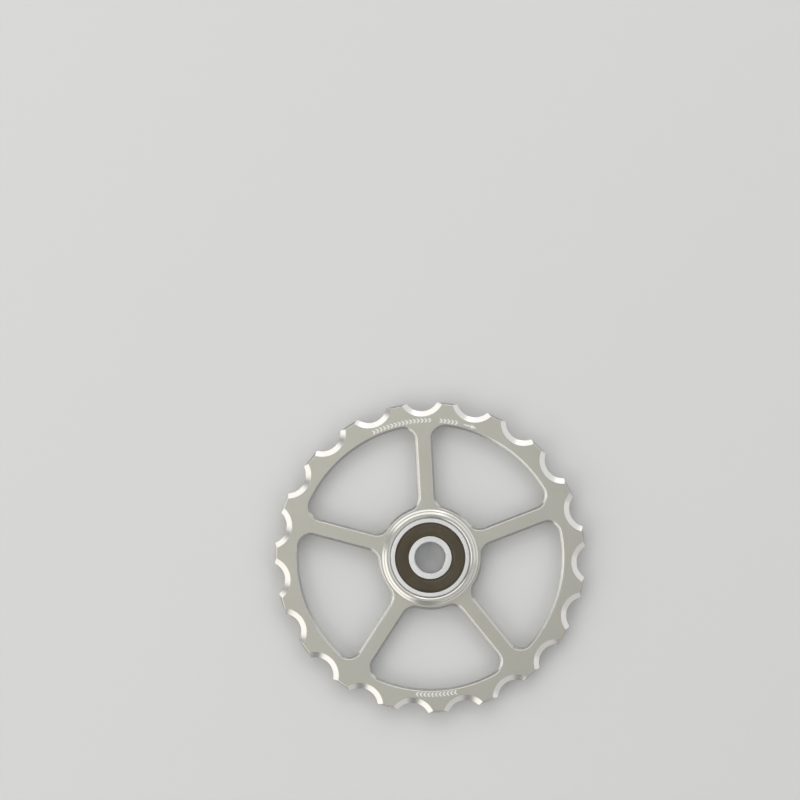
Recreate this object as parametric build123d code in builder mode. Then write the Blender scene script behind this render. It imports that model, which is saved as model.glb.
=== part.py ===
from build123d import *
from math import atan, degrees, pi, sin
import os

# Jockey wheel of a rear derailleur, with a sealed ball bearing pressed into its hub.
# Millimetres. The wheel turns about Z, its mid-plane is z = 0, and a spoke and a notch lie on +Y.

# Chain and teeth
chain_pitch = 12.7
roller_diameter = 7.75
tooth_count = 19
tooth_height = 2.05
notch_clearance = 0.4
notch_bevel_width = 1.33
notch_bevel_depth = 0.65
tip_bevel = 0.45

# Rim, spokes and windows
plate_thickness = 2.0
rim_depth = 3.6
spoke_count = 5
spoke_width = 4.12
window_corner_radius = 2.85
window_chamfer_width = 0.6
window_chamfer_depth = 0.5

# Hub
hub_setback = 0.1
seat_slope_width = 0.35
seat_slope_depth = 0.2
collar_wall = 1.4
collar_slope_width = 0.6
collar_slope_depth = 0.35
collar_foot_width = 0.45
collar_foot_depth = 0.25
hub_flange = 1.47

# Ball bearing
bearing_bore = 7.0
bearing_outside = 19.0
bearing_width = 6.0
ring_corner = 0.3
inner_face_width = 1.57
outer_face_width = 1.17
ball_count = 7
ball_diameter = 3.175
race_relief = 0.07
race_depth = 0.5
race_clearance = 0.03

# Seals, held in a groove of the outer ring and running clear of the inner ring
seal_recess = 0.2
seal_thickness = 0.5
seal_bead_depth = 0.25
seal_rim_width = 0.35
seal_lip_width = 0.45
seal_slope_width = 0.2
seal_edge_drop = 0.15
seal_lip_clearance = 0.06
seal_back_clearance = 0.1

# Snap-in ball cage, a ring with open pockets between pairs of fingers
cage_side_clearance = 0.2
cage_back_clearance = 0.15
cage_finger_height = 0.9
cage_slot_width = 0.5
cage_slot_depth = 1.4
pocket_clearance = 0.08

# Radii and heights that follow from the sizes above
first_angle = 90
pitch_radius = chain_pitch / (2 * sin(pi / tooth_count))
valley_radius = pitch_radius - roller_diameter / 2
tip_radius = valley_radius + tooth_height
notch_radius = roller_diameter / 2 + notch_clearance
notch_bevel_angle = 2 * degrees(atan(notch_bevel_width / notch_bevel_depth))
window_radius = valley_radius - rim_depth
seat_radius = bearing_outside / 2
collar_radius = seat_radius + collar_wall
hub_radius = collar_radius + hub_flange
hub_height = bearing_width / 2 - hub_setback
plate_height = plate_thickness / 2
bore_radius = bearing_bore / 2
ring_height = bearing_width / 2
ball_circle_radius = (bore_radius + seat_radius) / 2
ball_radius = ball_diameter / 2
race_groove_radius = ball_radius + race_relief
inner_race_radius = ball_circle_radius - ball_radius - race_clearance
outer_race_radius = ball_circle_radius + ball_radius + race_clearance
inner_shoulder_radius = inner_race_radius + race_depth
outer_shoulder_radius = outer_race_radius - race_depth
inner_land_radius = bore_radius + inner_face_width
mouth_radius = seat_radius - outer_face_width
groove_radius = mouth_radius + seal_bead_depth
seal_top = ring_height - seal_recess
seal_back = seal_top - seal_thickness
seal_edge_top = seal_top - seal_edge_drop
seal_lip_radius = inner_land_radius + seal_lip_clearance
shoulder_height = seal_back - seal_back_clearance
cage_back = seal_back - cage_back_clearance

os.makedirs("parts", exist_ok=True)

# Toothed wheel: the front half is turned with its bearing seat, pierced and notched, then mirrored
with BuildPart() as pulley_wheel:
    with BuildSketch(Plane.XZ):
        with BuildLine():
            Polyline(
                (seat_radius, 0),
                (seat_radius, hub_height - seat_slope_depth),
                (seat_radius + seat_slope_width, hub_height),
                (collar_radius - collar_slope_width, hub_height),
                (collar_radius, hub_height - collar_slope_depth),
                (collar_radius, plate_height + collar_foot_depth),
                (collar_radius + collar_foot_width, plate_height),
                (tip_radius - tip_bevel, plate_height),
                (tip_radius, plate_height - tip_bevel),
                (tip_radius, 0),
                close=True,
            )
        make_face()
    revolve(axis=Axis.Z)

    with BuildSketch() as windows:
        Circle(window_radius)
        Circle(hub_radius, mode=Mode.SUBTRACT)
        with PolarLocations(tip_radius / 2, spoke_count, start_angle=first_angle):
            Rectangle(tip_radius, spoke_width, mode=Mode.SUBTRACT)
        fillet(windows.vertices(), window_corner_radius)
    extrude(amount=plate_height, mode=Mode.SUBTRACT)
    window_edges = pulley_wheel.edges(Select.LAST).group_by(Axis.Z)[-1]
    plate_face = pulley_wheel.faces().filter_by(Axis.Z).sort_by(Axis.Z)[1]
    chamfer(window_edges, window_chamfer_width, window_chamfer_depth, reference=plate_face)

    with Locations(Plane.XY.offset(plate_height)):
        with PolarLocations(valley_radius + notch_radius, tooth_count, start_angle=first_angle):
            CounterSinkHole(
                notch_radius,
                notch_radius + notch_bevel_width,
                counter_sink_angle=notch_bevel_angle,
            )
    mirror(about=Plane.XY)
pulley_wheel.part.label = "pulley_wheel"
export_step(pulley_wheel.part, "parts/pulley_wheel.step")

# Outer ring: raceway inside, and a grooved mouth on each side that holds a seal
with BuildPart() as bearing_outer_ring:
    with BuildSketch(Plane.XZ) as outer_section:
        with Locations((outer_shoulder_radius, 0)):
            Rectangle(seat_radius - outer_shoulder_radius, ring_height, align=(Align.MIN, Align.MIN))
        chamfer(outer_section.vertices().group_by(Axis.Y)[-1].sort_by(Axis.X).last, ring_corner)
        with Locations((0, seal_edge_top)):
            Rectangle(mouth_radius, ring_height - seal_edge_top, align=(Align.MIN, Align.MIN), mode=Mode.SUBTRACT)
        with Locations((0, seal_back)):
            Rectangle(groove_radius, seal_edge_top - seal_back, align=(Align.MIN, Align.MIN), mode=Mode.SUBTRACT)
        mirror(about=Plane.XZ)
        with Locations((outer_race_radius - race_groove_radius, 0)):
            Circle(race_groove_radius, mode=Mode.SUBTRACT)
    revolve(axis=Axis.Z)
bearing_outer_ring.part.label = "bearing_outer_ring"
export_step(bearing_outer_ring.part, "parts/bearing_outer_ring.step")

# Inner ring: axle bore, raceway outside, and a lower land on each side under the seal lip
with BuildPart() as bearing_inner_ring:
    with BuildSketch(Plane.XZ) as inner_section:
        with Locations((bore_radius, 0)):
            Rectangle(inner_face_width, ring_height, align=(Align.MIN, Align.MIN))
        chamfer(inner_section.vertices().group_by(Axis.Y)[-1].sort_by(Axis.X).first, ring_corner)
        with Locations((bore_radius, 0)):
            Rectangle(inner_shoulder_radius - bore_radius, shoulder_height, align=(Align.MIN, Align.MIN))
        mirror(about=Plane.XZ)
        with Locations((inner_race_radius + race_groove_radius, 0)):
            Circle(race_groove_radius, mode=Mode.SUBTRACT)
    revolve(axis=Axis.Z)
bearing_inner_ring.part.label = "bearing_inner_ring"
export_step(bearing_inner_ring.part, "parts/bearing_inner_ring.step")

# Seal: a bead in the outer ring's groove, a raised web and a thinner lip above the inner ring
with BuildPart() as front_seal:
    with BuildSketch(Plane.XZ) as seal_section:
        with BuildLine():
            Polyline(
                (groove_radius, seal_back),
                (groove_radius, seal_edge_top),
                (mouth_radius - seal_rim_width, seal_edge_top),
                (mouth_radius - seal_rim_width - seal_slope_width, seal_top),
                (seal_lip_radius + seal_lip_width + seal_slope_width, seal_top),
                (seal_lip_radius + seal_lip_width, seal_edge_top),
                (seal_lip_radius, seal_edge_top),
                (seal_lip_radius, seal_back),
                close=True,
            )
        make_face()
    revolve(axis=Axis.Z)
front_seal.part.label = "front_seal"
export_step(front_seal.part, "parts/front_seal.step")

with BuildPart() as rear_seal:
    mirror(front_seal.part, about=Plane.XY)
rear_seal.part.label = "rear_seal"
export_step(rear_seal.part, "parts/rear_seal.step")

# Cage: a moulded crown whose fingers reach past the balls' widest point on the front side
with BuildPart() as ball_cage:
    with BuildSketch(Plane.XY.offset(-cage_back)):
        Circle(outer_shoulder_radius - cage_side_clearance)
        Circle(inner_shoulder_radius + cage_side_clearance, mode=Mode.SUBTRACT)
    extrude(amount=cage_back + cage_finger_height)
    with PolarLocations(ball_circle_radius, ball_count):
        Cylinder(ball_radius + pocket_clearance, ball_diameter, rotation=(0, 90, 0), mode=Mode.SUBTRACT)
    with BuildSketch(Plane.XY.offset(cage_finger_height)):
        with PolarLocations(ball_circle_radius, ball_count, start_angle=180 / ball_count):
            Rectangle(ball_diameter, cage_slot_width)
    extrude(amount=-cage_slot_depth, mode=Mode.SUBTRACT)
ball_cage.part.label = "ball_cage"
export_step(ball_cage.part, "parts/ball_cage.step")

for ball_index in range(ball_count):
    ball_angle = ball_index * 360 / ball_count
    with BuildPart() as ball:
        with PolarLocations(ball_circle_radius, 1, start_angle=ball_angle):
            Sphere(ball_radius)
    ball.part.label = f"ball_{ball_index + 1}"
    export_step(ball.part, f"parts/{ball.part.label}.step")
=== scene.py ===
from math import acos, asin, cos, degrees, pi, radians, sin, tan

import bmesh
import bpy
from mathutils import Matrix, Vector


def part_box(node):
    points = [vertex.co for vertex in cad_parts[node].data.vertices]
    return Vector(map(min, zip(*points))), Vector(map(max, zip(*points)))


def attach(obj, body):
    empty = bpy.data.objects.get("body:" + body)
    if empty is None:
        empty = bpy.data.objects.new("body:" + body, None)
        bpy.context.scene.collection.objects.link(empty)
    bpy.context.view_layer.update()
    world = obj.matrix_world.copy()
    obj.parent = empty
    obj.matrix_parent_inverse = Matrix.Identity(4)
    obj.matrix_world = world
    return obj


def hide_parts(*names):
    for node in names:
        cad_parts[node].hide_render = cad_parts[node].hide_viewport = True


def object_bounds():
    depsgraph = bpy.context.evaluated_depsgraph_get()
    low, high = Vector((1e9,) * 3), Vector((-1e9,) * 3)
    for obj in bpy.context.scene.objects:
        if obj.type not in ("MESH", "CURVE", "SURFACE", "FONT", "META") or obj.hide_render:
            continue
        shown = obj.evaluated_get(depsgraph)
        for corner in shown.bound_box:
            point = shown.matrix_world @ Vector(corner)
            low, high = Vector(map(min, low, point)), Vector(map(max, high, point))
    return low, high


# Jockey wheel with a sealed ball bearing, dressed round its CAD frame
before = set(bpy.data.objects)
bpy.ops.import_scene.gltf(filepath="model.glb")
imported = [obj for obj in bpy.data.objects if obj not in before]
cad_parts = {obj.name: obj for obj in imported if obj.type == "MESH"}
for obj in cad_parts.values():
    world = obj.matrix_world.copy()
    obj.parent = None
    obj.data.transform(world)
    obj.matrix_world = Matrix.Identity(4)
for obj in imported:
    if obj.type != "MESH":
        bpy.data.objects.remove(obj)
cadLow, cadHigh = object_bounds()
scene = bpy.context.scene
scene.view_settings.view_transform = "Standard"
mm = 0.001
middle = Vector((0, 0))
print("frame loaded:", len(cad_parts), "CAD nodes")


# Outline and mesh helpers, sizes in millimetres until the mesh is written

def nodeBox(node):
    low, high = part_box(node)
    return low / mm, high / mm


def polar(radius, angle):
    return Vector((radius * cos(radians(angle)), radius * sin(radians(angle))))


def arc(centre, radius, start, end, steps):
    return [centre + polar(radius, start + (end - start) * i / steps) for i in range(steps + 1)]


def flipped(profile):
    # the same profile below the mid-plane, from its far end back
    return [Vector((p.x, -p.y)) for p in reversed(profile)]


def roundCorners(corners, steps):
    # corners are (across, height, radius), a radius of 0 keeps the corner sharp
    points = []
    for index, (across, height, radius) in enumerate(corners):
        here = Vector((across, height))
        if not radius:
            points.append(here)
            continue
        back = (Vector(corners[index - 1][:2]) - here).normalized()
        ahead = (Vector(corners[(index + 1) % len(corners)][:2]) - here).normalized()
        half = back.angle(ahead) / 2
        centre = here + (back + ahead).normalized() * radius / sin(half)
        first = here + back * radius / tan(half) - centre
        last = here + ahead * radius / tan(half) - centre
        sweep = first.angle(last)
        for i in range(steps + 1):
            turn = sweep * i / steps
            points.append(centre + (first * sin(sweep - turn) + last * sin(turn)) / sin(sweep))
    return points


def edgeProfile(wall, bevel, edges, steps):
    # a wall and a bevel of (across, down) with both edges rounded; the last corner only aims the face
    across, down = bevel
    corners = [
        (wall, 0, 0),
        (wall, plateTop - down, edges[0]),
        (wall + across, plateTop, edges[1]),
        (wall + 2 * across, plateTop, 0),
    ]
    return roundCorners(corners, steps)[:-1]


def acrossAt(profile, height):
    # how far across a rising profile is at a height
    for low, high in zip(profile, profile[1:]):
        if low.y <= height <= high.y and high.y > low.y:
            return low.x + (high.x - low.x) * (height - low.y) / (high.y - low.y)
    return profile[-1].x


def bothSides(points):
    # each height of a profile once, from the lower face to the upper
    up = sorted({round(p.y, 5) for p in points})
    return [-h for h in reversed(up) if h > 0] + up


def addLoop(mesh, points, height):
    return [mesh.verts.new((p.x * mm, p.y * mm, height * mm)) for p in points]


def skin(mesh, loops, closed=False):
    pairs = list(zip(loops, loops[1:])) + ([(loops[-1], loops[0])] if closed else [])
    for lower, upper in pairs:
        for i in range(len(lower)):
            j = (i + 1) % len(lower)
            mesh.faces.new((lower[i], lower[j], upper[j], upper[i]))


def fillFlat(mesh, loops):
    edges = [mesh.edges.get((loop[i - 1], loop[i])) for loop in loops for i in range(len(loop))]
    bmesh.ops.triangle_fill(mesh, use_beauty=True, use_dissolve=False, edges=edges)


def lathe(mesh, profile, steps, closed):
    loops = [addLoop(mesh, arc(middle, p.x, 0, 360, steps)[:-1], p.y) for p in profile]
    skin(mesh, loops, closed)
    return loops


def makePiece(name, mesh, material, body, node):
    # large faces keep their own normal, so only the small edge roundings shade smoothly
    bmesh.ops.recalc_face_normals(mesh, faces=mesh.faces)
    for face in mesh.faces:
        face.smooth = True
    normals = []
    for vert in mesh.verts:
        total = Vector((0, 0, 0))
        for face in vert.link_faces:
            total += face.normal * face.calc_area()
        normals.append(total.normalized())
    data = bpy.data.meshes.new(name)
    mesh.to_mesh(data)
    mesh.free()
    data.normals_split_custom_set_from_vertices(normals)
    data.materials.append(material)
    piece = bpy.data.objects.new(name, data)
    scene.collection.objects.link(piece)
    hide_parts(node)
    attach(piece, body)
    print("made", name, "with", len(data.polygons), "faces")


def makeTurnedPiece(name, profile, steps, material, body, node):
    mesh = bmesh.new()
    lathe(mesh, profile, steps, True)
    makePiece(name, mesh, material, body, node)


# Shader helpers, lengths in millimetres

def addNode(tree, kind, inputs=None, **settings):
    made = tree.nodes.new(kind)
    for name, value in settings.items():
        setattr(made, name, value)
    for key, value in (inputs or {}).items():
        if isinstance(value, bpy.types.NodeSocket):
            tree.links.new(value, made.inputs[key])
        else:
            made.inputs[key].default_value = value
    return made


def calc(tree, operation, *values):
    return addNode(tree, "ShaderNodeMath", dict(enumerate(values)), operation=operation).outputs[0]


def remap(tree, value, fromLow, fromHigh, toLow=0.0, toHigh=1.0):
    limits = {0: value, 1: fromLow, 2: fromHigh, 3: toLow, 4: toHigh}
    return addNode(tree, "ShaderNodeMapRange", limits).outputs[0]


def between(tree, amount, low, high):
    return remap(tree, amount, 0.0, 1.0, low, high)


def addUp(tree, *values):
    total = values[0]
    for value in values[1:]:
        total = calc(tree, "ADD", total, value)
    return total


def scaled(tree, value, factor):
    return calc(tree, "MULTIPLY", value, factor)


def mixColour(tree, amount, first, second, mode="MIX"):
    inputs = {0: amount}
    for key, colour in ((6, first), (7, second)):
        inputs[key] = colour if isinstance(colour, bpy.types.NodeSocket) else (*colour, 1)
    return addNode(tree, "ShaderNodeMix", inputs, data_type="RGBA", blend_type=mode).outputs[2]


def newGroup(name, inputs, outputs):
    group = bpy.data.node_groups.new(name, "ShaderNodeTree")
    for label, kind, value in inputs:
        socket = group.interface.new_socket(label, in_out="INPUT", socket_type="NodeSocket" + kind)
        if value is not None:
            socket.default_value = value
    for label in outputs:
        group.interface.new_socket(label, in_out="OUTPUT", socket_type="NodeSocketFloat")
    return group, group.nodes.new("NodeGroupInput").outputs, group.nodes.new("NodeGroupOutput").inputs


def useGroup(tree, group, **inputs):
    return addNode(tree, "ShaderNodeGroup", inputs, node_tree=group).outputs


def newMaterial(name):
    material = bpy.data.materials.new(name)
    material.use_nodes = True
    return material, material.node_tree, material.node_tree.nodes["Principled BSDF"]


def placeOnPiece(tree):
    # the place in the piece's own frame, in millimetres
    place = tree.nodes.new("ShaderNodeTexCoord").outputs["Object"]
    return addNode(tree, "ShaderNodeVectorMath", {0: place, "Scale": 1 / mm}, operation="SCALE").outputs[0]


def feed(tree, shader, sources):
    for name, source in sources.items():
        tree.links.new(source, shader.inputs[name])


def addRelief(tree, shader, height, strength, depth):
    bump = addNode(tree, "ShaderNodeBump", {"Strength": strength, "Distance": depth * mm, "Height": height})
    tree.links.new(bump.outputs[0], shader.inputs["Normal"])


# Effects shared by several materials

effects = {
    # a contrast is the span of the noise that comes out as 0 to 1
    "grainDetail": 3.0,
    "grainContrast": (0.3, 0.7),
    "lineDetail": 2.0,
    "lineContrast": (0.25, 0.75),
    "heightWeight": 1.37,  # against 1 for the radius, so that a 45 degree slope has lines too
    "cloudDetail": 4.0,
    "cloudContrast": (0.3, 0.7),
    # hair scratches run where a stretched noise is near its middle, under the thicker clouds
    "hairTurn": 0.6,  # radians
    "hairStretch": 14,
    "hairScale": 3.0,  # times the scale of the clouds
    "hairDetail": 1.0,
    "hairDistortion": 0.4,
    "hairMiddle": 0.5,
    "hairWidth": 0.012,
    "hairCover": (0.58, 0.66),
}


def makeFineGrain():
    # fine blasted or moulded grain, Size is the width of a grain
    group, start, end = newGroup(
        "fineGrain",
        [("Vector", "Vector", None), ("Size", "Float", 0.1), ("Softness", "Float", 0.5)],
        ["Grain"],
    )
    scale = calc(group, "DIVIDE", 1.0, start["Size"])
    noise = addNode(group, "ShaderNodeTexNoise", {
        "Vector": start["Vector"],
        "Scale": scale,
        "Detail": effects["grainDetail"],
        "Roughness": start["Softness"],
    })
    group.links.new(remap(group, noise.outputs["Fac"], *effects["grainContrast"]), end["Grain"])
    return group


def makeToolLines():
    # tool marks in rings round the axle, or level along a milled wall where Turned is 0
    group, start, end = newGroup(
        "toolLines",
        [("Vector", "Vector", None), ("Pitch", "Float", 0.1), ("Turned", "Float", 1.0)],
        ["Lines", "Radius"],
    )
    x, y, z = addNode(group, "ShaderNodeSeparateXYZ", {0: start["Vector"]}).outputs
    radius = calc(group, "SQRT", addUp(group, scaled(group, x, x), scaled(group, y, y)))
    outward = scaled(group, radius, start["Turned"])
    upward = scaled(group, z, effects["heightWeight"])
    along = calc(group, "DIVIDE", addUp(group, outward, upward), start["Pitch"])
    noise = addNode(group, "ShaderNodeTexNoise", noise_dimensions="1D", inputs={
        "W": along, "Scale": 1.0, "Detail": effects["lineDetail"],
    })
    group.links.new(remap(group, noise.outputs["Fac"], *effects["lineContrast"]), end["Lines"])
    group.links.new(radius, end["Radius"])
    return group


def makeHandling():
    # soft cloudy film and a few hair scratches, Spread is the width of a cloud
    group, start, end = newGroup(
        "handling",
        [("Vector", "Vector", None), ("Spread", "Float", 12.0)],
        ["Film", "Scratches"],
    )
    scale = calc(group, "DIVIDE", 1.0, start["Spread"])
    cloud = addNode(group, "ShaderNodeTexNoise", {
        "Vector": start["Vector"], "Scale": scale, "Detail": effects["cloudDetail"],
    })
    group.links.new(remap(group, cloud.outputs["Fac"], *effects["cloudContrast"]), end["Film"])
    stretch = effects["hairStretch"]
    drawn = addNode(group, "ShaderNodeMapping", {
        "Vector": start["Vector"], "Rotation": (0, 0, effects["hairTurn"]), "Scale": (1, stretch, stretch),
    })
    hair = addNode(group, "ShaderNodeTexNoise", {
        "Vector": drawn.outputs[0],
        "Scale": scaled(group, scale, effects["hairScale"]),
        "Detail": effects["hairDetail"],
        "Distortion": effects["hairDistortion"],
    })
    away = calc(group, "ABSOLUTE", calc(group, "SUBTRACT", hair.outputs["Fac"], effects["hairMiddle"]))
    fine = remap(group, away, 0.0, effects["hairWidth"], 1.0, 0.0)
    sparse = remap(group, cloud.outputs["Fac"], *effects["hairCover"])
    group.links.new(scaled(group, fine, sparse), end["Scratches"])
    return group


def makeTilt():
    # 0 on faces square to the axle, 1 on slopes and walls, Flat and Steep are cosines of the lean
    group, start, end = newGroup("tilt", [("Flat", "Float", 0.985), ("Steep", "Float", 0.93)], ["Lean"])
    normal = group.nodes.new("ShaderNodeTexCoord").outputs["Normal"]
    upright = calc(group, "ABSOLUTE", addNode(group, "ShaderNodeSeparateXYZ", {0: normal}).outputs[2])
    group.links.new(remap(group, upright, start["Flat"], start["Steep"]), end["Lean"])
    return group


fineGrain = makeFineGrain()
toolLines = makeToolLines()
handling = makeHandling()
tilt = makeTilt()
print("shared effects built")


# Toothed wheel

wheel = {
    # sizes, where a pair is (across, down)
    "teeth": 19,
    "pitch": 12.7,
    "rollerDiameter": 7.75,
    "rollerClearance": 0.4,
    "notchBevel": (1.33, 0.65),
    "tipBevel": (-0.45, 0.45),
    "toothCorner": 0.1,
    "plateThickness": 2.0,
    "rimDepth": 3.6,
    "spokes": 5,
    "spokeWidth": 4.12,
    "firstAngle": 90,
    "windowCorner": 2.85,
    "windowChamfer": (0.6, 0.5),
    "seatSlope": (0.35, 0.2),
    "collarWall": 1.4,
    "collarSlope": (0.6, 0.35),
    "collarFoot": (0.45, 0.25),
    "hubFlange": 1.47,
    # edge roundings: notches, tips and windows upwards, the hub from the plate in to the bearing
    "notchEdges": (0.12, 0.25),
    "tipEdges": (0.25, 0.25),
    "windowEdges": (0.12, 0.3),
    "hubEdges": (0.15, 0.1, 0.28, 0.1, 0.08, 0.15),
    # steps along each arc
    "notchSteps": 20,
    "tipSteps": 6,
    "toothCornerSteps": 3,
    "rimSteps": 40,
    "rimCornerSteps": 12,
    "hubCornerSteps": 10,
    "hubSteps": 14,
    "collarSteps": 180,
    "toothEdgeSteps": 3,
    "windowEdgeSteps": 4,
    "hubEdgeSteps": 5,
    # finish, where a pair is (blasted face, cut slope)
    "satinColour": (0.595, 0.588, 0.535),
    "cutColour": (0.66, 0.65, 0.62),
    "filmColour": (0.9, 0.885, 0.84),
    "filmAmount": 0.35,
    "grainColour": (0.86, 0.86, 0.86),
    "grainAmount": 0.3,
    "roughness": (0.36, 0.24),
    "filmRoughness": (-0.025, 0.035),
    "scratchRoughness": -0.08,
    "grainSize": 0.16,
    "turnedPitch": 0.09,
    "turnedRadius": 11.4,
    "milledPitch": 0.05,
    "filmSpread": 16.0,
    "grainRelief": (0.9, 0.04),
    "toolRelief": 0.2,
    "scratchRelief": -0.4,
    "reliefStrength": 0.5,
    "reliefDepth": 0.01,
}

marks = {
    "colour": (0.88, 0.88, 0.85),
    "cover": 0.95,
    "addedRoughness": 0.25,
    "metallic": 0.15,
    "radius": 32.45,
    "facesWithin": 0.02,
    # arrow along the rim, its tip, tail and head in degrees
    "arrowTip": 67.2,
    "arrowTail": 72.8,
    "headLength": 2.4,
    "headHalfWidth": 0.456,
    "shaftHalfWidth": 0.13,
    # chevrons, spaced in degrees and leaning in degrees for each millimetre
    "chevronSpacing": 1.6,
    "chevronStroke": 0.72,
    "chevronLean": 1.5,
    "chevronHalfHeight": 0.5,
    "chevronRuns": [(47, 52), (54, 70), (163, 174)],  # first and last, counted round from +X
}

wheelLow, wheelHigh = nodeBox("pulley_wheel")
outerHigh = nodeBox("bearing_outer_ring")[1]
plateTop = wheel["plateThickness"] / 2
hubTop = wheelHigh.z
valleyRadius = wheel["pitch"] / (2 * sin(pi / wheel["teeth"])) - wheel["rollerDiameter"] / 2
notchRadius = wheel["rollerDiameter"] / 2 + wheel["rollerClearance"]
notchReach = valleyRadius + notchRadius
tipRadius = -wheelLow.y  # the middle of a tooth lies on -Y
windowRadius = valleyRadius - wheel["rimDepth"]
seatRadius = outerHigh.x
collarRadius = seatRadius + wheel["collarWall"]
hubRadius = collarRadius + wheel["hubFlange"]


def toothOutline(notchAt, tipAt):
    corner = wheel["toothCorner"]
    outer, inner = tipAt - corner, notchAt + corner
    beta = degrees(acos((notchReach ** 2 + outer ** 2 - inner ** 2) / (2 * notchReach * outer)))
    gamma = degrees(acos((notchReach ** 2 + inner ** 2 - outer ** 2) / (2 * notchReach * inner)))
    step = 360 / wheel["teeth"]
    points = []
    for tooth in range(wheel["teeth"]):
        at = wheel["firstAngle"] + tooth * step
        left, right, back = at + beta, at + step - beta, at + 180
        points += arc(polar(notchReach, at), notchAt, back + gamma, back - gamma, wheel["notchSteps"])[:-1]
        points += arc(polar(outer, left), corner, at - gamma, left, wheel["toothCornerSteps"])[:-1]
        points += arc(middle, tipAt, left, right, wheel["tipSteps"])[:-1]
        points += arc(polar(outer, right), corner, right, at + step + gamma, wheel["toothCornerSteps"])[:-1]
    return points


def windowOutline(window, grow):
    corner = wheel["windowCorner"]
    side = wheel["spokeWidth"] / 2 + corner
    rimMiddle, hubMiddle = windowRadius - corner, hubRadius + corner
    rimTurn, hubTurn = degrees(asin(side / rimMiddle)), degrees(asin(side / hubMiddle))
    right = wheel["firstAngle"] + window * 360 / wheel["spokes"]
    left = right + 360 / wheel["spokes"]
    rimSteps, hubSteps = wheel["rimCornerSteps"], wheel["hubCornerSteps"]

    def cornerArc(reach, at, start, end, steps):
        return arc(polar(reach, at), corner + grow, start, end, steps)

    points = arc(middle, windowRadius + grow, right + rimTurn, left - rimTurn, wheel["rimSteps"])[:-1]
    points += cornerArc(rimMiddle, left - rimTurn, left - rimTurn, left + 90, rimSteps)
    points += cornerArc(hubMiddle, left - hubTurn, left + 90, left - hubTurn + 180, hubSteps)[:-1]
    points += arc(middle, hubRadius - grow, left - hubTurn, right + hubTurn, wheel["hubSteps"])[:-1]
    points += cornerArc(hubMiddle, right + hubTurn, right + hubTurn + 180, right + 270, hubSteps)
    points += cornerArc(rimMiddle, right + rimTurn, right - 90, right + rimTurn, rimSteps)[:-1]
    return points


def hubProfile():
    foot, slope, seat = wheel["collarFoot"], wheel["collarSlope"], wheel["seatSlope"]
    places = [
        (collarRadius + foot[0], plateTop),
        (collarRadius, plateTop + foot[1]),
        (collarRadius, hubTop - slope[1]),
        (collarRadius - slope[0], hubTop),
        (seatRadius + seat[0], hubTop),
        (seatRadius, hubTop - seat[1]),
    ]
    rounded = [(*place, edge) for place, edge in zip(places, wheel["hubEdges"])]
    corners = [(hubRadius, plateTop, 0), *rounded, (seatRadius, 0, 0)]
    half = roundCorners(corners, wheel["hubEdgeSteps"])[1:]  # the first corner only aims the plate
    return half + flipped(half[:-1])


def makeWheelMesh():
    mesh = bmesh.new()
    notch = edgeProfile(notchRadius, wheel["notchBevel"], wheel["notchEdges"], wheel["toothEdgeSteps"])
    tip = edgeProfile(tipRadius, wheel["tipBevel"], wheel["tipEdges"], wheel["toothEdgeSteps"])
    rimLoops = []
    for z in bothSides(notch + tip):
        rimLoops.append(addLoop(mesh, toothOutline(acrossAt(notch, abs(z)), acrossAt(tip, abs(z))), z))
    skin(mesh, rimLoops)
    edge = edgeProfile(0, wheel["windowChamfer"], wheel["windowEdges"], wheel["windowEdgeSteps"])
    windowLoops = []
    for window in range(wheel["spokes"]):
        loops = [addLoop(mesh, windowOutline(window, acrossAt(edge, abs(z))), z) for z in bothSides(edge)]
        skin(mesh, loops)
        windowLoops.append(loops)
    hubLoops = lathe(mesh, hubProfile(), wheel["collarSteps"], False)
    fillFlat(mesh, [rimLoops[-1], hubLoops[0]] + [loops[-1] for loops in windowLoops])
    fillFlat(mesh, [rimLoops[0], hubLoops[-1]] + [loops[0] for loops in windowLoops])
    return mesh


def markMask(tree, where, radius):
    # laser marks along the rim: a plain arrow and runs of chevrons, all pointing the way the wheel turns
    x, y, z = addNode(tree, "ShaderNodeSeparateXYZ", {0: where}).outputs
    angle = scaled(tree, calc(tree, "ARCTAN2", y, x), 180 / pi)
    angle = calc(tree, "MODULO", calc(tree, "ADD", angle, 360.0), 360.0)
    away = calc(tree, "ABSOLUTE", calc(tree, "SUBTRACT", radius, marks["radius"]))

    def within(value, low, high):
        return scaled(tree, calc(tree, "GREATER_THAN", value, low), calc(tree, "LESS_THAN", value, high))

    tipAngle, headLength = marks["arrowTip"], marks["headLength"]
    taper = scaled(tree, calc(tree, "SUBTRACT", angle, tipAngle), marks["headHalfWidth"] / headLength)
    head = scaled(tree, within(angle, tipAngle, tipAngle + headLength), calc(tree, "LESS_THAN", away, taper))
    shaft = within(angle, tipAngle + headLength / 2, marks["arrowTail"])
    shaft = scaled(tree, shaft, calc(tree, "LESS_THAN", away, marks["shaftHalfWidth"]))
    mask = calc(tree, "MAXIMUM", shaft, head)

    step = marks["chevronSpacing"]
    leant = calc(tree, "SUBTRACT", angle, scaled(tree, away, marks["chevronLean"]))
    comb = calc(tree, "LESS_THAN", calc(tree, "MODULO", leant, step), marks["chevronStroke"])
    chevron = scaled(tree, comb, calc(tree, "LESS_THAN", away, marks["chevronHalfHeight"]))
    for first, last in marks["chevronRuns"]:
        mask = calc(tree, "MAXIMUM", mask, scaled(tree, chevron, within(leant, first * step, last * step)))
    return scaled(tree, mask, calc(tree, "COMPARE", z, plateTop, marks["facesWithin"]))


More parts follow.
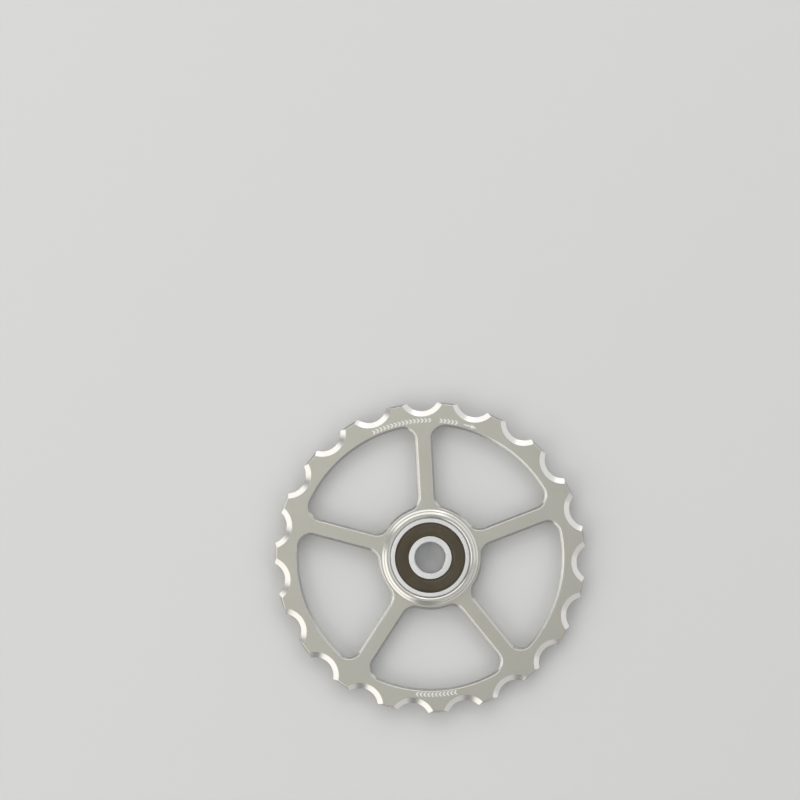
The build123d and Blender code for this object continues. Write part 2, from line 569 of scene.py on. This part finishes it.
def makeWheelFinish():
    material, tree, shader = newMaterial("satinAluminium")
    where = placeOnPiece(tree)
    grain = useGroup(tree, fineGrain, Vector=where, Size=wheel["grainSize"])["Grain"]
    turnedLines = useGroup(tree, toolLines, Vector=where, Pitch=wheel["turnedPitch"])
    milledLines = useGroup(tree, toolLines, Vector=where, Pitch=wheel["milledPitch"], Turned=0.0)["Lines"]
    touched = useGroup(tree, handling, Vector=where, Spread=wheel["filmSpread"])
    cut = useGroup(tree, tilt)["Lean"]
    turned = calc(tree, "LESS_THAN", turnedLines["Radius"], wheel["turnedRadius"])
    milled = scaled(tree, cut, calc(tree, "SUBTRACT", 1.0, turned))
    mark = markMask(tree, where, turnedLines["Radius"])

    colour = mixColour(tree, cut, wheel["satinColour"], wheel["cutColour"])
    film = scaled(tree, touched["Film"], wheel["filmAmount"])
    colour = mixColour(tree, film, colour, wheel["filmColour"], "MULTIPLY")
    speckle = scaled(tree, grain, wheel["grainAmount"])
    colour = mixColour(tree, speckle, colour, wheel["grainColour"], "MULTIPLY")
    colour = mixColour(tree, scaled(tree, mark, marks["cover"]), colour, marks["colour"])
    rough = addUp(
        tree,
        between(tree, cut, *wheel["roughness"]),
        between(tree, touched["Film"], *wheel["filmRoughness"]),
        scaled(tree, touched["Scratches"], wheel["scratchRoughness"]),
        scaled(tree, mark, marks["addedRoughness"]),
    )
    metallic = between(tree, mark, 1.0, marks["metallic"])
    feed(tree, shader, {"Base Color": colour, "Roughness": rough, "Metallic": metallic})

    lines = addUp(tree, scaled(tree, turnedLines["Lines"], turned), scaled(tree, milledLines, milled))
    height = addUp(
        tree,
        scaled(tree, grain, between(tree, cut, *wheel["grainRelief"])),
        scaled(tree, lines, wheel["toolRelief"]),
        scaled(tree, touched["Scratches"], wheel["scratchRelief"]),
    )
    addRelief(tree, shader, height, wheel["reliefStrength"], wheel["reliefDepth"])
    return material


makePiece("toothedWheel", makeWheelMesh(), makeWheelFinish(), "wheel", "pulley_wheel")


# Bearing rings

rings = {
    "boreRadius": 3.5,
    "corner": 0.3,
    "innerFace": 1.57,
    "outerFace": 1.17,
    "ballDiameter": 3.175,
    "raceRelief": 0.07,
    "raceClearance": 0.03,
    "raceDepth": 0.5,
    "sealEdgeDrop": 0.15,
    "sealBackClearance": 0.1,
    # edge roundings, from the round outside or the bore on to the flat face
    "outerEdges": (0.45, 0.06, 0.06),
    "innerEdges": (0.12, 0.1, 0.06),
    "edgeSteps": 3,
    "raceSteps": 12,
    "turnSteps": 144,
    # finish
    "colour": (0.77, 0.777, 0.783),
    "filmColour": (0.66, 0.66, 0.69),
    "filmAmount": 0.4,
    "lineColour": (0.6, 0.6, 0.62),
    "lineAmount": 0.18,
    "roughness": 0.17,
    "lineRoughness": (-0.03, 0.05),
    "filmRoughness": 0.05,
    "linePitch": 0.06,
    "filmSpread": 6.0,
    "scratchRelief": -0.7,
    "reliefStrength": 0.15,
    "reliefDepth": 0.003,
}

sealLow, sealHigh = nodeBox("front_seal")
ringTop = outerHigh.z
sealEdge = sealHigh.z - rings["sealEdgeDrop"]
mouthRadius = seatRadius - rings["outerFace"]
landRadius = rings["boreRadius"] + rings["innerFace"]
ballCircle = (rings["boreRadius"] + seatRadius) / 2
raceRadius = rings["ballDiameter"] / 2 + rings["raceRelief"]
raceShift = rings["raceRelief"] - rings["raceClearance"]


def ringProfile(corners, shoulder, raceMiddle):
    # half a section down to the shoulder, the ball groove, and the same half below
    half = roundCorners(corners, rings["edgeSteps"])
    reach = degrees(acos((shoulder - raceMiddle) / raceRadius))
    end = -reach if shoulder > raceMiddle else 360 - reach
    groove = arc(Vector((raceMiddle, 0)), raceRadius, reach, end, rings["raceSteps"])
    return half + groove + flipped(half[1:])


def outerProfile():
    shoulder = ballCircle - raceShift + raceRadius - rings["raceDepth"]
    outsideEdge, faceEdge, mouthEdge = rings["outerEdges"]
    corners = [
        (seatRadius, 0, 0),
        (seatRadius, ringTop - rings["corner"], outsideEdge),
        (seatRadius - rings["corner"], ringTop, faceEdge),
        (mouthRadius, ringTop, mouthEdge),
        (mouthRadius, sealEdge, 0),
        (sealHigh.x, sealEdge, 0),
        (sealHigh.x, sealLow.z, 0),
        (shoulder, sealLow.z, 0),
    ]
    return ringProfile(corners, shoulder, ballCircle - raceShift)


def innerProfile():
    shoulder = ballCircle + raceShift - raceRadius + rings["raceDepth"]
    shoulderTop = sealLow.z - rings["sealBackClearance"]
    boreEdge, faceEdge, landEdge = rings["innerEdges"]
    corners = [
        (rings["boreRadius"], 0, 0),
        (rings["boreRadius"], ringTop - rings["corner"], boreEdge),
        (rings["boreRadius"] + rings["corner"], ringTop, faceEdge),
        (landRadius, ringTop, landEdge),
        (landRadius, shoulderTop, 0),
        (shoulder, shoulderTop, 0),
    ]
    return ringProfile(corners, shoulder, ballCircle + raceShift)


def makeRingFinish():
    material, tree, shader = newMaterial("groundSteel")
    where = placeOnPiece(tree)
    lines = useGroup(tree, toolLines, Vector=where, Pitch=rings["linePitch"])["Lines"]
    touched = useGroup(tree, handling, Vector=where, Spread=rings["filmSpread"])
    film = scaled(tree, touched["Film"], rings["filmAmount"])
    colour = mixColour(tree, film, rings["colour"], rings["filmColour"])
    colour = mixColour(tree, scaled(tree, lines, rings["lineAmount"]), colour, rings["lineColour"])
    rough = addUp(
        tree,
        between(tree, lines, *rings["lineRoughness"]),
        scaled(tree, touched["Film"], rings["filmRoughness"]),
        rings["roughness"],
    )
    feed(tree, shader, {"Base Color": colour, "Roughness": rough})
    shader.inputs["Metallic"].default_value = 1.0
    height = addUp(tree, lines, scaled(tree, touched["Scratches"], rings["scratchRelief"]))
    addRelief(tree, shader, height, rings["reliefStrength"], rings["reliefDepth"])
    return material


groundSteel = makeRingFinish()
for name, profile, body, node in (
    ("outerRing", outerProfile(), "wheel", "bearing_outer_ring"),
    ("innerRing", innerProfile(), "inner_ring", "bearing_inner_ring"),
):
    makeTurnedPiece(name, profile, rings["turnSteps"], groundSteel, body, node)


# Rubber seals

seals = {
    "rimWidth": 0.35,
    "lipWidth": 0.45,
    "slopeWidth": 0.2,
    "lipClearance": 0.06,
    # edge roundings: bead, rim, web and lip
    "beadEdge": 0.05,
    "rimEdge": 0.08,
    "webEdge": 0.5,
    "lipEdge": 0.07,
    "edgeSteps": 3,
    "turnSteps": 128,
    # finish
    "colour": (0.05, 0.036, 0.017),
    "paleColour": (0.082, 0.064, 0.037),
    "paleAmount": 0.8,
    "paleContrast": (0.1, 0.9),
    "ringShade": 0.4,
    "dustColour": (0.3, 0.28, 0.25),
    "dustAmount": 0.5,
    "dustScale": 0.7,
    "dustSize": 0.06,
    "dustCover": 0.55,
    "roughness": (0.32, 0.16),  # level, sloped
    "grainRoughness": (-0.06, 0.08),
    "grainSize": 0.2,
    "grainSoftness": 0.6,
    "linePitch": 0.35,
    "filmSpread": 5.0,
    "level": 0.995,
    "sloped": 0.96,
    "grainRelief": 0.6,
    "lineRelief": 0.5,
    "reliefStrength": 0.3,
    "reliefDepth": 0.01,
}


def sealProfile():
    rim = mouthRadius - seals["rimWidth"]
    lip = landRadius + seals["lipClearance"]
    web = lip + seals["lipWidth"]
    slope = seals["slopeWidth"]
    corners = [
        (sealHigh.x, sealLow.z, seals["beadEdge"]),
        (sealHigh.x, sealEdge, seals["beadEdge"]),
        (rim, sealEdge, seals["rimEdge"]),
        (rim - slope, sealHigh.z, seals["webEdge"]),
        (web + slope, sealHigh.z, seals["webEdge"]),
        (web, sealEdge, seals["rimEdge"]),
        (lip, sealEdge, seals["lipEdge"]),
        (lip, sealLow.z, seals["beadEdge"]),
    ]
    return roundCorners(corners, seals["edgeSteps"])


def makeSealFinish():
    material, tree, shader = newMaterial("sealRubber")
    where = placeOnPiece(tree)
    grain = useGroup(
        tree, fineGrain, Vector=where, Size=seals["grainSize"], Softness=seals["grainSoftness"]
    )["Grain"]
    lines = useGroup(tree, toolLines, Vector=where, Pitch=seals["linePitch"])["Lines"]
    film = useGroup(tree, handling, Vector=where, Spread=seals["filmSpread"])["Film"]
    slope = useGroup(tree, tilt, Flat=seals["level"], Steep=seals["sloped"])["Lean"]
    bloom = scaled(tree, film, between(tree, lines, seals["ringShade"], 1.0))
    bloom = remap(tree, bloom, *seals["paleContrast"], 0.0, seals["paleAmount"])
    colour = mixColour(tree, bloom, seals["colour"], seals["paleColour"])
    specks = addNode(tree, "ShaderNodeTexVoronoi", {"Vector": where, "Scale": seals["dustScale"]})
    dust = calc(tree, "LESS_THAN", specks.outputs["Distance"], seals["dustSize"])
    dust = scaled(tree, dust, calc(tree, "GREATER_THAN", film, seals["dustCover"]))
    colour = mixColour(tree, scaled(tree, dust, seals["dustAmount"]), colour, seals["dustColour"])
    rough = addUp(
        tree, between(tree, slope, *seals["roughness"]), between(tree, grain, *seals["grainRoughness"])
    )
    feed(tree, shader, {"Base Color": colour, "Roughness": rough})
    height = addUp(tree, scaled(tree, grain, seals["grainRelief"]), scaled(tree, lines, seals["lineRelief"]))
    addRelief(tree, shader, height, seals["reliefStrength"], seals["reliefDepth"])
    return material


sealRubber = makeSealFinish()
for name, profile, node in (
    ("frontSealRing", sealProfile(), "front_seal"),
    ("rearSealRing", flipped(sealProfile()), "rear_seal"),
):
    makeTurnedPiece(name, profile, seals["turnSteps"], sealRubber, "wheel", node)


# Ball cage and balls keep their CAD shapes

cage = {
    "colour": (0.7, 0.65, 0.52),
    "paleColour": (0.78, 0.74, 0.63),
    "roughness": (0.38, 0.52),
    "grainSize": 0.25,
    "filmSpread": 4.0,
    "reliefStrength": 0.25,
    "reliefDepth": 0.01,
}

balls = {
    "colour": (0.045, 0.045, 0.048),
    "paleColour": (0.075, 0.075, 0.08),
    "paleAmount": 0.7,
    "roughness": (0.05, 0.14),
    "grainSize": 0.06,
    "filmSpread": 2.0,
}


def makeCageFinish():
    material, tree, shader = newMaterial("naturalNylon")
    where = placeOnPiece(tree)
    grain = useGroup(tree, fineGrain, Vector=where, Size=cage["grainSize"])["Grain"]
    film = useGroup(tree, handling, Vector=where, Spread=cage["filmSpread"])["Film"]
    colour = mixColour(tree, film, cage["colour"], cage["paleColour"])
    feed(tree, shader, {"Base Color": colour, "Roughness": between(tree, grain, *cage["roughness"])})
    addRelief(tree, shader, grain, cage["reliefStrength"], cage["reliefDepth"])
    return material


def makeBallFinish():
    material, tree, shader = newMaterial("polishedCeramic")
    where = placeOnPiece(tree)
    grain = useGroup(tree, fineGrain, Vector=where, Size=balls["grainSize"])["Grain"]
    film = useGroup(tree, handling, Vector=where, Spread=balls["filmSpread"])["Film"]
    colour = mixColour(tree, scaled(tree, grain, balls["paleAmount"]), balls["colour"], balls["paleColour"])
    feed(tree, shader, {"Base Color": colour, "Roughness": between(tree, film, *balls["roughness"])})
    return material


naturalNylon = makeCageFinish()
polishedCeramic = makeBallFinish()
for name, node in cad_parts.items():
    if name.startswith("ball_"):
        node.data.materials.clear()
        node.data.materials.append(naturalNylon if name == "ball_cage" else polishedCeramic)
print("finished cage and balls")


# Floor, camera and light, in metres and degrees

studio = {
    "floorSize": 4.0,
    "floorColour": (0.72, 0.72, 0.715),
    "floorRoughness": 0.75,
    "floorSpecular": 0.2,
    "worldColour": (0.95, 0.97, 1.0),
    "worldStrength": 0.33,
    "cameraDistance": 1.6,
    "cameraTurn": -3.1,
    "frameWidth": 0.1892,
    "frameCentre": (-0.00511, 0.03758),
    # azimuth in the picture, angle up from the floor, distance, degrees wide and high, brightness, colour
    "softboxes": {
        "overhead": (150, 77, 0.65, 36, 36, 0.7, (1.0, 0.985, 0.905)),
        "topPanel": (108, 39, 0.8, 63, 34, 1.3, (1.0, 0.99, 0.97)),
        "leftPanel": (211, 34, 0.8, 66, 44, 1.3, (1.0, 0.98, 0.94)),
        "leftStrip": (163, 8, 0.9, 34, 16, 1.1, (1.0, 0.99, 0.97)),
        "leftFill": (159, 38, 0.8, 42, 36, 0.1, (1.0, 0.99, 0.97)),
        "rightPanel": (34, 38, 0.8, 76, 36, 0.78, (0.98, 0.99, 1.0)),
        "rightStrip": (39, 12, 0.9, 26, 16, 0.5, (1.0, 0.99, 0.97)),
        "lowPanel": (312, 39, 0.8, 58, 34, 0.58, (1.0, 0.97, 0.96)),
    },
}


def makeFloor():
    mesh = bmesh.new()
    bmesh.ops.create_grid(mesh, x_segments=1, y_segments=1, size=studio["floorSize"] / 2)
    bmesh.ops.translate(mesh, verts=mesh.verts, vec=(0, 0, cadLow.z))
    data = bpy.data.meshes.new("floor")
    mesh.to_mesh(data)
    mesh.free()
    material, _, shader = newMaterial("paleFloor")
    shader.inputs["Base Color"].default_value = (*studio["floorColour"], 1)
    shader.inputs["Roughness"].default_value = studio["floorRoughness"]
    shader.inputs["Specular IOR Level"].default_value = studio["floorSpecular"]
    data.materials.append(material)
    floor = bpy.data.objects.new("floor", data)
    scene.collection.objects.link(floor)


def makeCamera():
    data = bpy.data.cameras.new("camera")
    data.lens = data.sensor_width * studio["cameraDistance"] / studio["frameWidth"]
    camera = bpy.data.objects.new("camera", data)
    camera.location = (*studio["frameCentre"], plateTop * mm + studio["cameraDistance"])
    camera.rotation_euler = (0, 0, radians(studio["cameraTurn"]))
    scene.collection.objects.link(camera)
    scene.camera = camera


def makeLights():
    world = bpy.data.worlds.new("studio")
    world.use_nodes = True
    backdrop = world.node_tree.nodes["Background"]
    backdrop.inputs["Color"].default_value = (*studio["worldColour"], 1)
    backdrop.inputs["Strength"].default_value = studio["worldStrength"]
    scene.world = world
    for name, (azimuth, rise, distance, wide, high, brightness, colour) in studio["softboxes"].items():
        data = bpy.data.lights.new(name, "AREA")
        data.shape = "RECTANGLE"
        data.size, data.size_y = (2 * distance * tan(radians(span / 2)) for span in (wide, high))
        data.energy = brightness * pi * data.size * data.size_y
        data.color = colour
        lamp = bpy.data.objects.new(name, data)
        flat = polar(distance * cos(radians(rise)), azimuth + studio["cameraTurn"])
        lamp.location = (flat.x, flat.y, distance * sin(radians(rise)))
        lamp.rotation_euler = (-lamp.location).to_track_quat("-Z", "Y").to_euler()
        lamp.visible_camera = False
        scene.collection.objects.link(lamp)


makeFloor()
makeCamera()
makeLights()
print("floor, camera and light set")
